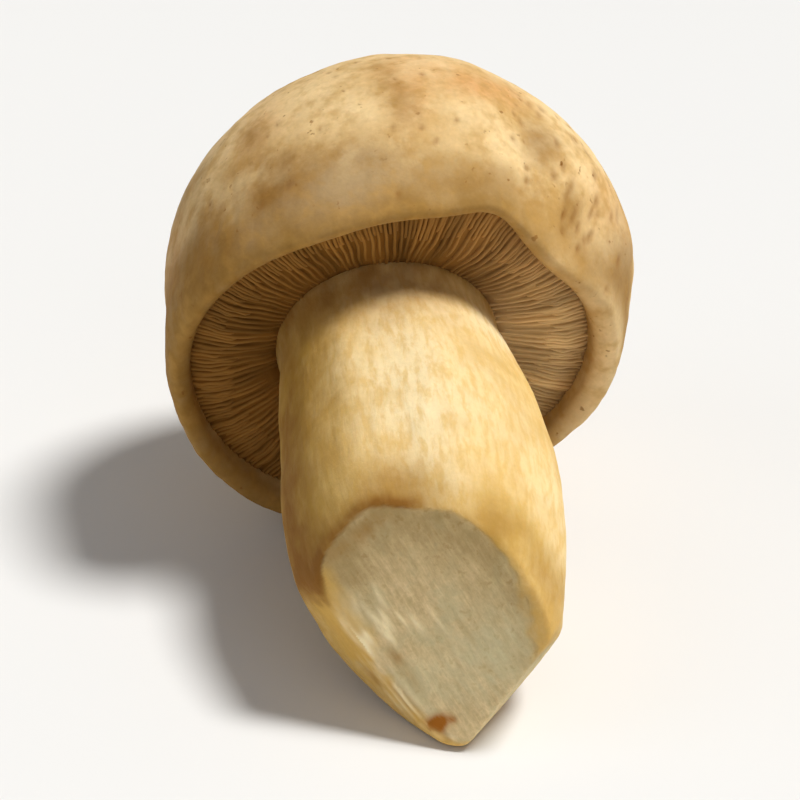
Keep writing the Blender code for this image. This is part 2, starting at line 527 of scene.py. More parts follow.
class Graph:
    """The node tree of one material or world."""

    def __init__(self, owner: Union[bpy.types.Material, bpy.types.World]) -> None:
        """Empty the tree of a material or a world.

        Args:
            owner: What the tree belongs to.
        """
        owner.use_nodes = True
        self.owner = owner
        self.tree = owner.node_tree
        self.tree.nodes.clear()

    @classmethod
    def material(cls, name: str) -> "Graph":
        """Start the tree of a new material."""
        return cls(bpy.data.materials.new(name))

    def node(self, kind: str, settings: Union[dict[str, Any], None] = None,
             inputs: Union[dict[Union[str, int], Any], None] = None,
             output: Union[str, int, None] = 0) -> Union[Signal, None]:
        """Add one node.

        Args:
            kind: Type of the node.
            settings: Properties of the node, set first.
            inputs: Values or signals of its sockets, by name or number.
            output: Output to return, by name or number, or None for a node that has none.

        Returns:
            The node's output, if one is asked for.
        """
        node = self.tree.nodes.new(kind)
        for key, value in (settings or {}).items():
            setattr(node, key, value)
        for key, value in (inputs or {}).items():
            if isinstance(value, Signal):
                self.tree.links.new(value.socket, node.inputs[key])
            elif isinstance(value, tuple) and node.inputs[key].type == "RGBA":
                node.inputs[key].default_value = (*value, 1.0)
            else:
                node.inputs[key].default_value = value
        return None if output is None else Signal(self, node.outputs[output])

    def noise(self, place: Signal, cloud: "Cloud") -> Signal:
        """Noise from 0 to 1.

        Args:
            place: Where it is read.
            cloud: Its kind.

        Returns:
            The noise.
        """
        return self.node("ShaderNodeTexNoise", None,
                         {"Vector": place, "Scale": 1.0 / cloud.size, "Detail": cloud.detail,
                          "Roughness": cloud.rough, "Distortion": cloud.twist})

    def blend(self, share: Value, first: Union[Colour, Signal],
              second: Union[Colour, Signal]) -> Signal:
        """Mix two colours by a share of the second."""
        return self.node("ShaderNodeMix", {"data_type": "RGBA"}, {0: share, 6: first, 7: second}, 2)

    def coat(self, under: Signal, coat: "Coat", noise: Signal) -> Signal:
        """Lay a coat over a colour.

        Args:
            under: The colour below.
            coat: The coat.
            noise: What makes it uneven.

        Returns:
            The coated colour.
        """
        if coat.ends is not None:
            noise = noise.band(*coat.ends)
        return self.blend(self.layer(coat.layer) * (noise * coat.gain + coat.base), under, coat.tint)

    def shade(self, colour: Signal, amount: Value) -> Signal:
        """Darken or lighten a colour by a factor."""
        return self.node("ShaderNodeVectorMath", {"operation": "SCALE"},
                         {0: colour, "Scale": amount})

    def place(self) -> Signal:
        """Object coordinates, in metres."""
        return self.node("ShaderNodeTexCoord", output="Object")

    def layer(self, layer: Layer, output: str = "Fac") -> Signal:
        """A layer of the piece's points."""
        return self.node("ShaderNodeAttribute", {"attribute_name": layer.value}, output=output)

    def bump(self, height: Signal, depth: float, under: Union[Signal, None] = None) -> Signal:
        """Normal of a height signal.

        Args:
            height: The signal.
            depth: How high it stands where it is 1, in metres.
            under: A coarser normal that it adds to.

        Returns:
            The normal.
        """
        inputs: dict[Union[str, int], Any] = {"Height": height, "Distance": depth, "Strength": 1.0}
        if under is not None:
            inputs["Normal"] = under
        return self.node("ShaderNodeBump", None, inputs)

    def surface(self, colour: Signal, roughness: Value, normal: Signal,
                fixed: dict[str, Any]) -> bpy.types.Material:
        """Close the tree with a Principled shader.

        Args:
            colour: Base colour.
            roughness: Roughness.
            normal: Normal.
            fixed: Values of its other sockets.

        Returns:
            The finished material.
        """
        shader = self.node("ShaderNodeBsdfPrincipled", None,
                           {"Base Color": colour, "Roughness": roughness, "Normal": normal, **fixed})
        self.finish(shader)
        return self.owner

    def finish(self, shader: Signal) -> None:
        """Link a shader to the output that the owner of the tree has."""
        kind = "World" if isinstance(self.owner, bpy.types.World) else "Material"
        self.node("ShaderNodeOutput" + kind, None, {"Surface": shader}, None)


@dataclass(frozen=True)
class Cloud:
    """One noise of a finish: size of its cells in metres, detail, roughness and distortion."""

    size: float
    detail: float = 3.0
    rough: float = 0.55
    twist: float = 0.0


@dataclass(frozen=True)
class Coat:
    """A tint laid over a finish where a layer of the points says so.

    Its share is the layer times the sum of base and gain times a noise, and the noise is first
    sharpened to a smooth step between the two ends, if ends are given.
    """

    layer: Layer
    tint: Colour
    base: float
    gain: float
    ends: Union[tuple[float, float], None] = None


@dataclass(frozen=True)
class Flesh:
    """What all the mushroom's flesh shares: a little light passes into it."""

    weight: float = 0.10
    reach: float = 0.0014
    spread: Colour = (1.0, 0.50, 0.22)
    specular: float = 0.07

    def fixed(self) -> dict[str, Any]:
        """Values for the Principled shader's own sockets."""
        return {"Subsurface Weight": self.weight, "Subsurface Scale": self.reach,
                "Subsurface Radius": self.spread, "Specular IOR Level": self.specular}


@dataclass(frozen=True)
class CapSkin:
    """Dry skin, mottled from cream to tan and brown, darker ochre towards the rim, with dark specks; the
    ochre by the rim is partly the skin's own and partly painted shade.
    """

    cream: Colour = (0.82, 0.60, 0.31)
    tan: Colour = (0.56, 0.345, 0.12)
    fleck: Colour = (0.46, 0.26, 0.070)
    freckle: Colour = (0.23, 0.095, 0.018)
    coats: tuple[Coat, ...] = (
        Coat(Layer.PALE, (0.82, 0.60, 0.31), 0.0, 1.0, (0.12, 0.62)),
        # The rim coat is dark ochre, partly the skin's own and partly painted shade on the brim and the
        # left side.
        Coat(Layer.RIM, (0.30, 0.162, 0.037), 0.60, 0.75),
        Coat(Layer.ORANGE, (0.68, 0.37, 0.15), 0.50, 0.50, (0.28, 0.62)),
        Coat(Layer.GREY, (0.40, 0.275, 0.140), 0.66, 0.32, (0.30, 0.60)))
    stain_and_shade: Coat = Coat(Layer.BROWN, (0.27, 0.130, 0.026), 0.66, 0.32, (0.30, 0.62))
    broad: Cloud = Cloud(0.026, 4.0, 0.6, 0.3)
    mottle: Cloud = Cloud(0.0085, 4.0, 0.60, 0.1)
    blotch: Cloud = Cloud(0.0042, 3.0, 0.58)
    small: Cloud = Cloud(0.0028, 2.0, 0.5)
    dots: Cloud = Cloud(0.0019, 2.0, 0.5)
    fine: Cloud = Cloud(0.0011, 4.0, 0.7)
    blotch_depth: float = 0.00020
    fine_depth: float = 0.00007
    flesh: Flesh = field(default_factory=Flesh)

    def material(self) -> bpy.types.Material:
        """Make the material.

        Returns:
            The material.
        """
        graph = Graph.material("cap_skin_finish")
        place = graph.place()
        broad, mottle, blotch, small, dots, fine = (graph.noise(place, cloud) for cloud in (
            self.broad, self.mottle, self.blotch, self.small, self.dots, self.fine))
        ragged = mottle * 0.6 + blotch * 0.4
        colour = graph.blend((broad * 0.6 + mottle * 0.4).band(0.38, 0.62), self.cream, self.tan)
        for coat in self.coats:
            colour = graph.coat(colour, coat, ragged)
        flecks = (mottle * 0.50 + small * 0.50).band(0.45, 0.66) * 0.55
        colour = graph.coat(graph.blend(flecks, colour, self.fleck), self.stain_and_shade, ragged)
        dark = graph.layer(Layer.SPECK) + dots.band(0.66, 0.74) * 0.7 * blotch.band(0.40, 0.60)
        colour = graph.blend(dark, colour, self.freckle)
        colour = graph.shade(colour, 0.74 + blotch * 0.22 + fine * 0.30)
        normal = graph.bump(fine, self.fine_depth, graph.bump(blotch, self.blotch_depth))
        return graph.surface(colour, 0.62 + mottle * 0.18, normal, self.flesh.fixed())


@dataclass(frozen=True)
class GillFlesh:
    """Soft brown gills, lighter along their edges and darker between them, where the darker colour is
    painted shade; pale with painted light on the side that opens and darker with painted shade by the
    stem and the lip.
    """

    # pale and dark are one flesh with painted light on the side that opens and painted shade elsewhere;
    # the two darker copies are painted shade between the blades.
    pale: Colour = (0.62, 0.42, 0.195)
    pale_painted_shade: Colour = (0.53, 0.345, 0.150)
    dark: Colour = (0.29, 0.138, 0.030)
    dark_painted_shade: Colour = (0.20, 0.086, 0.014)
    cloud: Cloud = Cloud(0.009)
    fine: Cloud = Cloud(0.0009, 4.0, 0.6)
    fine_depth: float = 0.00006
    flesh: Flesh = field(default_factory=lambda: Flesh(weight=0.08, reach=0.0008))

    def material(self) -> bpy.types.Material:
        """Make the material.

        Returns:
            The material.
        """
        graph = Graph.material("gill_finish")
        place = graph.place()
        cloud, fine = graph.noise(place, self.cloud), graph.noise(place, self.fine)
        # The pale layer is painted light, the depth layer painted shade between the blades and the brown
        # layer painted shade by the stem and the lip.
        cut_and_painted_light, tone = graph.layer(Layer.PALE), graph.layer(Layer.TONE)
        both = graph.blend(graph.layer(Layer.DEPTH), graph.blend(cut_and_painted_light, self.dark, self.pale),
                           graph.blend(cut_and_painted_light, self.dark_painted_shade, self.pale_painted_shade))
        shaded_by_stem_and_lip = graph.blend(graph.layer(Layer.BROWN), both, self.dark_painted_shade)
        colour = graph.shade(shaded_by_stem_and_lip, 0.66 + cloud * 0.30 + fine * 0.12 + tone * 0.26)
        return graph.surface(colour, 0.62 + fine * 0.12, graph.bump(fine, self.fine_depth),
                             self.flesh.fixed())


@dataclass(frozen=True)
class StemFlesh:
    """Cream to straw stem with short tan streaks, and greyer flesh on the knife cuts. Its cream is
    partly painted light, its ochre and brown partly painted shade.
    """

    straw: Colour = (0.76, 0.52, 0.20)
    tan: Colour = (0.57, 0.34, 0.085)
    fleck: Colour = (0.70, 0.44, 0.13)
    cut_light: Colour = (0.84, 0.65, 0.36)
    cut_dark: Colour = (0.54, 0.40, 0.20)
    cut_green: Colour = (0.50, 0.435, 0.245)
    dot: Colour = (0.32, 0.205, 0.070)
    strip: Colour = (0.60, 0.365, 0.090)
    # The ridge colour is pale torn flesh brightened into a painted highlight; the groove colour is brown
    # flesh darkened with painted shade.
    ridge: Colour = (0.98, 0.83, 0.51)
    groove: Colour = (0.36, 0.19, 0.045)
    spot: Colour = (0.35, 0.12, 0.014)
    # The light coat is painted light over cream on the uppermost side; the ochre wash and the brown coat
    # are partly stains and partly painted shade, on the left side and under the cap; the shade coat is
    # painted shade, partly browner flesh, on the cut's far edge.
    light: Coat = Coat(Layer.PALE, (0.93, 0.77, 0.47), 0.65, 0.60)
    wash: Coat = Coat(Layer.RIM, (0.46, 0.28, 0.050), 0.55, 1.0)
    stain_and_shade: Coat = Coat(Layer.BROWN, (0.25, 0.110, 0.020), 0.60, 1.0)
    shade: Coat = Coat(Layer.GREY, (0.335, 0.225, 0.082), 0.40, 0.60)
    cool: Coat = Coat(Layer.COOL, (0.61, 0.565, 0.345), 0.45, 0.60)
    broad: Cloud = Cloud(0.012, 3.0, 0.55, 0.5)
    cloud: Cloud = Cloud(0.0075, 4.0, 0.6, 0.4)
    spots: Cloud = Cloud(0.0016, 3.0, 0.6)
    streaks: Cloud = Cloud(0.0010, 4.0, 0.65)
    flecks: Cloud = Cloud(0.0015, 3.0, 0.6, 0.3)
    fine: Cloud = Cloud(0.0008, 4.0, 0.7)
    fibre_depth: float = 0.00010
    fine_depth: float = 0.00007
    flesh: Flesh = field(default_factory=lambda: Flesh(weight=0.14, reach=0.0018))

    def _skin(self, graph: Graph, fleck: Signal) -> Signal:
        """Colour of the skin: cream with painted light on the uppermost side, straw elsewhere, with
        flecks, and ochre and brown that are partly stains and partly painted shade.

        Args:
            graph: The material's tree.
            fleck: Noise drawn out along the stem.

        Returns:
            The colour.
        """
        broad = graph.noise(graph.place(), self.broad)
        base = graph.blend((broad * 0.75 + fleck * 0.25).band(0.34, 0.66), self.straw, self.tan)
        # Painted light on the cream, then ochre and brown that are partly painted shade.
        lit = graph.coat(base, self.light, broad)
        flecked = graph.blend(fleck.band(0.40, 0.70) * 0.58, lit, self.fleck)
        washed = graph.coat(flecked, self.wash, broad * 0.5 + fleck * 0.4)
        return graph.coat(washed, self.stain_and_shade, broad * 0.5 + fleck * 0.35)

    def _cut(self, graph: Graph, streak: Signal) -> Signal:
        """Colour of the cut flesh: fine slanting streaks, clouded with grey-green, with painted shade on
        its far edge and in the torn grooves and a painted highlight on the torn ridges.

        Args:
            graph: The material's tree.
            streak: Noise drawn out along the fibres.

        Returns:
            The colour.
        """
        place = graph.place()
        cloud, spots = graph.noise(place, self.cloud), graph.noise(place, self.spots)
        fuzzy = (streak * 0.45 + spots * 0.25 + cloud * 0.30).band(0.34, 0.66)
        streaked = graph.blend(fuzzy, self.cut_dark, self.cut_light)
        clouded = graph.blend(cloud.band(0.42, 0.64) * 0.60, streaked, self.cut_green)
        # Painted shade on the cut's far edge, then cooler flesh.
        cooled = graph.coat(graph.coat(clouded, self.shade, cloud), self.cool, cloud)
        dots = spots.band(0.54, 0.72) * (0.34 + graph.layer(Layer.GREY) * 0.35)
        side = graph.blend(streak.band(0.30, 0.62), self.tan, self.strip)
        colour = graph.blend(dots, cooled, self.dot)
        # The grooves' colour is partly painted shade and the ridges' partly a painted highlight.
        for share, tint in ((graph.layer(Layer.STRIP), side), (graph.layer(Layer.DEPTH), self.groove),
                            (graph.layer(Layer.RIDGE) * 0.95, self.ridge),
                            (graph.layer(Layer.SPECK), self.spot)):
            colour = graph.blend(share, colour, tint)
        return colour

    def material(self) -> bpy.types.Material:
        """Make the material.

        Returns:
            The material.
        """
        graph = Graph.material("stem_finish")
        grain, cut = graph.layer(Layer.GRAIN, "Vector"), graph.layer(Layer.CUT)
        streak, fleck = graph.noise(grain, self.streaks), graph.noise(grain, self.flecks)
        fine = graph.noise(graph.place(), self.fine)
        both = graph.blend(cut, self._skin(graph, fleck), self._cut(graph, streak))
        normal = graph.bump(fine, self.fine_depth, graph.bump(streak, self.fibre_depth))
        return graph.surface(graph.shade(both, 0.90 + fine * 0.20), 0.66 + fleck * 0.14 + cut * 0.06,
                             normal, self.flesh.fixed())


@dataclass(frozen=True)
class Pits:
    """Small sunk marks scattered over a stretch of a grid, each drawn out down its rows."""

    count: int
    seed: int
    rows: tuple[float, float]
    bearings: tuple[float, float]
    size: tuple[float, float]
    stretch: float
    depth: float
    darkness: float
    faintest: float = 0.4

    def press(self, points: Array) -> Array:
        """Depth share of the marks at each point of the grid, each a bell of its own size.

        Args:
            points: Grid of points, rows down and columns round.

        Returns:
            A grid of values from 0 to 1.
        """
        draw = np.random.default_rng(self.seed)
        height, width = points.shape[:2]
        down = np.gradient(points, axis=0)
        across = np.roll(points, -1, axis=1) - np.roll(points, 1, axis=1)
        marks = np.zeros((height, width))
        for _ in range(self.count):
            row = int(height * draw.uniform(*self.rows))
            column = int(width * (draw.uniform(*self.bearings) % 360.0) / 360.0) % width
            size, length = draw.uniform(*self.size), draw.uniform(1.0, self.stretch)
            along = down[row, column] / np.linalg.norm(down[row, column])
            beside = across[row, column] / np.linalg.norm(across[row, column])
            away = (points - points[row, column]) / size
            share = np.exp(-(away @ along / length) ** 2 - (away @ beside) ** 2
                           - (away @ np.cross(along, beside)) ** 2)
            marks = np.maximum(marks, share * draw.uniform(self.faintest, 1.0))
        return marks


@dataclass
class Cap:
    """Thick domed cap with an inrolled lip, solid down to the seat that the gills grow from.

    Its tints, nicks and lip are placed by the bearing and height of the even, turned form, before
    the rim waves and the dome shifts. Its pits are placed by shares of the rows and by bearing.
    """

    rim: Rim
    lying: Lying
    radius: float = 0.0453
    dome: float = 0.0402
    fullness: float = 2.2
    shift: tuple[float, float] = (0.0040, -0.0019)
    lip: float = 0.0026
    seat: tuple[tuple[float, float], ...] = ((0.0380, 0.0030), (0.0300, 0.0087), (0.0213, 0.0110))
    lobes: tuple[Lobe, ...] = (Lobe(31.0, 8.0, -0.0013), Lobe(86.0, 38.0, 0.0021),
                               Lobe(-60.0, 30.0, 0.0002), Lobe(150.0, 40.0, -0.0006))
    lobe_top: float = 0.0420
    wave: float = 0.0005
    columns: int = 620
    rows: int = 156
    tints: tuple[Tint, ...] = (
        Tint(Layer.ORANGE, 41, 0.006, Marks((
            (18, 23.2, 8, 3.8, 1.15), (4, 29, 10, 6.5, 0.55), (28, 25.2, 6, 3.4, 0.8),
            (2, 18, 4, 7, 0.45), (-38, 24, 7, 8, 0.35), (62, 10, 11, 5, 0.35), (-77, 17, 9, 8, 0.4),
            (150, 30, 26, 10, 0.45), (-140, 33, 22, 8, 0.4)))),
        Tint(Layer.BROWN, 42, 0.005, Marks((
            (-56, 4, 8, 7, 0.7), (-80, 12, 12, 11, 0.45), (-32, 6, 7, 4.5, 1.5), (-48, -2, 14, 4, 0.25),
            (-37, 11.5, 8, 4.5, 0.4), (34.5, 12.5, 4.5, 5, 0.55), (-50, 11, 13, 10, 0.3),
            (-40, 22.2, 4, 5, 0.4), (0.5, 15, 3.5, 6, 0.3), (-18, 8, 8, 3.5, 0.35),
            (16, -1, 10, 2.2, 0.22), (30, 1, 8, 3, 0.35), (62, -1, 10, 4, 0.35), (49, 3, 3, 3.5, 0.6),
            (82, 1, 12, 5, 0.3), (-3, 22, 3.5, 10, 0.35), (125, 10, 18, 9, 0.45),
            (-110, 10, 22, 11, 0.55), (-165, 18, 24, 12, 0.45), (90, 40, 30, 8, 0.4)))),
        Tint(Layer.GREY, 43, 0.005, Marks((
            (-29, 2.5, 6, 3, 0.7), (-40, -1.5, 5, 3, 0.7), (-14, 1.8, 13, 4.5, 1.7),
            (71, 6, 8, 6.5, 0.6), (35.5, 14, 5, 5.5, 0.6), (-65, 26, 12, 5, 0.45)))),
        Tint(Layer.PALE, 44, 0.006, Marks((
            (-17, 25, 11, 14, 0.9), (18, 14, 8, 5, 1.2), (59, 3, 6, 5, 0.8), (-44, 29, 14, 8.5, 0.8),
            (22, 7, 9, 5, 0.55), (11, 3.5, 5, 3.5, 0.8), (-41, -1, 4, 3, 0.45), (-28, 23.5, 10, 8, 1),
            (0, 38, 30, 5, 0.9), (48, 24, 12, 7, 0.5), (-10, 13, 6, 6, 0.5)))))
    pits: tuple[Pits, ...] = (
        Pits(26, 11, (0.34, 0.60), (27.0, 42.0), (0.00045, 0.00100), 2.0, 0.00026, 0.65),
        Pits(16, 12, (0.42, 0.76), (40.0, 66.0), (0.00040, 0.00090), 2.6, 0.00032, 0.85),
        Pits(90, 23, (0.05, 0.72), (0.0, 360.0), (0.00025, 0.00060), 1.6, 0.00016, 0.70))
    nicks: Marks = Marks((
        (39.7, 15.2, 0.9, 1.6, 0.8), (42, 10, 0.8, 1.3, 0.7), (50.1, 3.2, 0.9, 1.8, 0.7),
        (55, 6, 0.9, 1.8, 0.85), (57.4, 2, 0.8, 1.4, 0.9), (55.2, -1.4, 0.8, 1, 0.85),
        (53, 13.5, 1, 1.4, 0.8), (45.8, 6.3, 1.3, 2.4, 0.7), (68.6, -4.3, 0.9, 0.8, 0.8),
        (69.6, 2.7, 1, 1.4, 0.8), (48.6, -0.6, 1.2, 0.7, 0.85), (62, 8.5, 0.9, 1.2, 0.7),
        (32.2, 6, 0.8, 0.8, 0.9), (33.1, 3.1, 0.8, 0.9, 0.8), (26.8, 11.3, 0.8, 0.7, 0.8),
        (0.2, -2.4, 0.8, 0.7, 0.85), (11.6, 12.2, 0.7, 0.6, 0.7), (3.4, 10.1, 0.8, 0.7, 0.75),
        (7.4, 7.3, 0.7, 0.7, 0.8), (-3.4, 10.4, 0.7, 0.7, 0.6), (-28, 4.8, 1.4, 0.9, 0.6),
        (-36, 3.3, 1.2, 0.9, 0.55)))
    nick_depth: float = 0.00030
    nick_darkness: float = 0.75
    dents: Relief = Relief(((3, 24, 0.45, 1), (4, 8, 0.16, 1), (5, 2.2, 0.045, 1)))
    wrinkles: Relief = Relief(((6, 1.6, 0.10, 1),))
    wrinkle_rows: tuple[float, float] = (0.45, 0.72)
    spoke: tuple[float, float] = (0.030, 0.020)
    # How far up the rim's dark ochre reaches by bearing, highest on the left side, where it is partly
    # painted shade.
    wash: tuple[Lobe, ...] = (Lobe(-76.0, 30.0, 0.0130), Lobe(76.0, 9.0, 0.0100),
                              Lobe(52.0, 10.0, -0.0060))
    wash_heights: tuple[float, float] = (-0.0060, 0.0085)
    wash_swing: Swing = Swing(45, 0.012, 0.0035, 3)
    pale_lip: Marks = Marks(((92, -7.5, 42, 4.6, 1),))
    inner_rows: int = 24
    lip_rows: int = 30
    lip_fade: tuple[float, float] = (-0.03, 0.05)
    seat_share: float = 0.85
    wave_turns: float = 3.0
    wave_start: float = 40.0

    def _profile(self) -> Array:
        """Radius and height down the dome, brim and lip, then in along the seat to the axis.

        The dome is a superellipse quarter, the brim an ellipse quarter and the lip a quarter turn.

        Returns:
            Points of the profile, one a row.
        """
        power = 2.0 / self.fullness
        turn = np.radians(np.linspace(0.4, 90.0, 240))
        dome = np.stack([self.radius * np.sin(turn) ** power,
                         self.rim.equator + self.dome * np.cos(turn).clip(0.0) ** power], axis=1)
        turn = np.radians(np.linspace(0.5, 90.0, 120))
        brim = np.stack([self.radius - (self.radius - self.rim.radius) * (1.0 - np.cos(turn)),
                         self.rim.equator - (self.rim.equator - self.rim.height) * np.sin(turn)],
                        axis=1)
        turn = np.radians(np.linspace(3.0, 90.0, 30))
        lip = np.stack([self.rim.radius - self.lip * np.sin(turn),
                        self.rim.height + self.lip * (1.0 - np.cos(turn))], axis=1)
        seat = np.array(self.seat + ((0.0010, self.seat[-1][1]),))
        outer = even_spacing(np.concatenate([dome, brim, lip]), self.rows - self.inner_rows)
        inner = even_spacing(np.concatenate([lip[-1:], seat]), self.inner_rows + 1)
        return np.concatenate([outer, inner[1:]])

    def _swell(self, points: Array) -> Array:
        """Shift the dome off the stem's axis and raise its lobes, leaving the seat as it is.

        Lobes fade by a smooth step up the dome. A wave is added, a sine of three times the bearing
        times half a sine of the height, and all of it fades in from the seat to the outer skin.

        Args:
            points: Points of the turned form.

        Returns:
            The points, moved.
        """
        radius, bearing, height = polar(points)
        top = self.rim.equator + self.dome
        outside = rise(self.seat_share, 1.0, np.hypot(radius / self.radius, height / top))
        above = rise(self.rim.height, self.rim.equator, height)
        fade = 1.0 - rise(self.rim.equator, self.lobe_top, height)
        ripple = np.sin(np.radians(self.wave_turns * bearing + self.wave_start))
        wave = self.wave * ripple * np.sin(height / top * math.pi)
        swelling = (lobes_at(self.lobes, bearing) * fade + wave) * outside
        moved = from_polar(radius + swelling, bearing, height)
        moved[..., :2] += (outside * above)[..., None] * np.array(self.shift)
        return moved

    def _colour_layers(self, points: Array, bearing: Array, height: Array) -> dict[Layer, Array]:
        """Tints of the skin: its patches, and the dark ochre that rises from the rim, partly the skin's
        own and partly painted shade.

        Args:
            points: Points of the finished surface.
            bearing: Bearings of the even form.
            height: Heights of the even form.

        Returns:
            The layers, on the same grid.
        """
        layers = {tint.layer: tint.paint(points, bearing, height) for tint in self.tints}
        # Dark ochre by the rim, partly painted shade, taken off the pale right side of the lip.
        torn = height - lobes_at(self.wash, bearing) - self.wash_swing.at(points)
        above = 1.0 - rise(*self.wash_heights, torn)
        smooth_lip = self.pale_lip.on_skin(bearing, height)
        layers[Layer.RIM] = above * (1.0 - smooth_lip)
        layers[Layer.PALE] = np.maximum(layers[Layer.PALE], smooth_lip)
        return layers

    def build(self) -> bpy.types.Object:
        """Make the cap's mesh with its dents, wrinkles and pits, and its colour layers.

        Returns:
            The piece.
        """
        profile = self._profile()
        even = from_polar(profile[:, :1], even_bearings(self.columns), profile[:, 1:])
        points = self._swell(self.rim.carry(even))
        _, bearing, height = polar(even)
        row = np.arange(self.rows)[:, None] / (self.rows - 1)
        lip_row = 1.0 - self.lip_rows / self.rows
        skin = 1.0 - rise(lip_row + self.lip_fade[0], lip_row + self.lip_fade[1], row)
        radius, length = self.spoke
        spokes = from_polar(radius, bearing, row * length)
        wrinkles = self.wrinkles.at(spokes) * rise(*self.wrinkle_rows, row)
        marks = [pits.press(points) for pits in self.pits]
        nicks = self.nicks.on_skin(bearing, height).clip(0.0, 1.0)
        sunk = sum(pits.depth * mark for pits, mark in zip(self.pits, marks)) + self.nick_depth * nicks
        lift = (self.dents.at(points) + wrinkles - sunk) * skin
        points = points + outward(points) * lift[..., None]
        layers = self._colour_layers(points, bearing, height)
        dark = [pits.darkness * mark for pits, mark in zip(self.pits, marks)]
        layers[Layer.SPECK] = np.maximum.reduce([*dark, self.nick_darkness * nicks]) * skin
        draft = Draft()
        draft.add_turned(points, layers)
        return draft.piece("cap_fine", self.lying)

    def dress(self, piece: bpy.types.Object) -> None:
        """Give the cap its skin and put it in the solid's place."""
        put_in_place(piece, CapSkin().material(), "cap")


@dataclass
class Gills:
    """Full gills from lip to stem with a short one between each two, on a thin plate."""

    rim: Rim
    lying: Lying
    full: int = 132
    inner: float = 0.02100
    outer: float = 0.03880
    short_from: float = 0.0275
    short_spread: float = 0.0028
    edge: tuple[tuple[float, float], ...] = ((0.0215, 0.0006), (0.0255, -0.0007), (0.0300, -0.0018),
                                             (0.0340, -0.0021), (0.0388, -0.0012))
    seat: tuple[tuple[float, float], ...] = ((0.0213, 0.0106), (0.0300, 0.0083), (0.0384, 0.0026))
    root_half: float = 0.00042
    edge_half: float = 0.00020
    stations: int = 14
    seed: int = 17
    filled: float = 0.945
    filled_at_stem: float = 0.045
    plate_columns: int = 360
    plate_points: int = 9
    plate_rise: tuple[float, float] = (0.0300, 0.0220)
    jitter: float = 0.30
    uneven: float = 0.00020
    ripple: float = 0.00014
    ripple_turn: tuple[float, float] = (9.0, 20.0)
    short_rise: float = 0.35
    short_tip: float = 0.12
    tone_spread: float = 0.30
    bundles: Swing = Swing(61, 0.0030, 0.9, 2)
    bends: Swing = Swing(62, 0.006, 0.00045)
    # Painted light on the side that opens; painted shade by the stem, less on the lit side, and by the
    # lip.
    painted_light_side: Lobe = Lobe(92.0, 42.0, 1.0)
    stem_reach: tuple[float, float] = (0.0290, 0.0220)
    lip_reach: tuple[float, float] = (0.0330, 0.0380)
    stem_shade: float = 0.75
    lit_side_less_shade: Lobe = Lobe(88.0, 42.0, -0.70)
    lip_shade: Lobe = Lobe(108.0, 27.0, 0.62)

    def _blades(self) -> tuple[Array, Array, Array]:
        """Points of all the blades, their depth from the edge and their tone, as whole arrays.

        A blade's section at each station is six points, down one side, round the edge and back up.
        Its edge rises and falls by a sine, and noise in space bends it along with its neighbours.

        Returns:
            Points of shape (blades, stations, 6, 3), and depth and tone of shape (blades, stations, 6).
        """
        draw = np.random.default_rng(self.seed)
        count = 2 * self.full
        short = (np.arange(count) % 2 == 1)[:, None]
        pitch = 360.0 / count
        bearing = (np.arange(count) + self.jitter * draw.uniform(-1.0, 1.0, count))[:, None] * pitch
        spread = self.short_spread * draw.uniform(-1.0, 1.0, (count, 1))
        start = np.where(short, self.short_from + spread, self.inner)
        share = np.linspace(0.0, 1.0, self.stations)[None, :]
        radius = start + (self.outer - start) * share
        edge_table, seat_table = np.array(self.edge), np.array(self.seat)
        root = np.interp(radius, seat_table[:, 0], seat_table[:, 1])
        uneven = self.uneven * draw.uniform(-1.0, 1.0, (count, 1))
        turn = share * draw.uniform(*self.ripple_turn, (count, 1)) + 6.3 * draw.random((count, 1))
        edge = np.interp(radius, edge_table[:, 0], edge_table[:, 1]) + uneven
        edge = edge + self.ripple * np.sin(turn)
        grow = np.where(short, rise(0.0, self.short_rise, share), 1.0)
        edge = root + (edge - root) * (self.short_tip + (1.0 - self.short_tip) * grow)
        drop = np.array([0.0, self.filled, 1.0, 1.0, self.filled, 0.0])
        half = np.array([-self.root_half, -self.root_half, -self.edge_half])
        half = np.concatenate([half, -half[::-1]])
        height = root[..., None] + (edge - root)[..., None] * drop
        middle = from_polar(radius, bearing, edge)
        sway = self.bends.at(middle)[..., None] * drop
        turned = bearing[..., None] + np.degrees((half + sway) / radius[..., None])
        spread_radius = np.broadcast_to(radius[..., None], height.shape)
        depth = np.broadcast_to((drop < 1.0) * 1.0, height.shape)
        own_tone = self.tone_spread * draw.uniform(-1.0, 1.0, (count, 1, 1))
        tone = np.broadcast_to(own_tone + self._bundled(middle)[..., None], height.shape)
        return from_polar(spread_radius, turned, height), depth, tone

    def _bundled(self, points: Array) -> Array:
        """Light and dark bundles of gills: noise round the axis that hardly changes outward.

        Args:
            points: Points of the even ring.

        Returns:
            Values about 0.5.
        """
        radius, bearing, _ = polar(points)
        return 0.5 + self.bundles.at(from_polar(0.030 + 0.15 * radius, bearing, 0.0))

    def _blade_faces(self, count: int) -> Array:
        """Quads of all the blades: six sides from station to station, and two at each end.

        Args:
            count: How many blades.

        Returns:
            The quads, one a row.
        """
        ring = np.arange(6)
        first = (np.arange(self.stations - 1) * 6)[:, None]
        here, then = first + ring, first + (ring + 1) % 6
        sides = np.stack([here, here + 6, then + 6, then], axis=-1).reshape(-1, 4)
        near = np.array([[0, 1, 4, 5], [1, 2, 3, 4]])
        far = near[:, ::-1] + (self.stations - 1) * 6
        one = np.concatenate([sides, near, far])
        return (one[None] + (np.arange(count) * self.stations * 6)[:, None, None]).reshape(-1, 4)

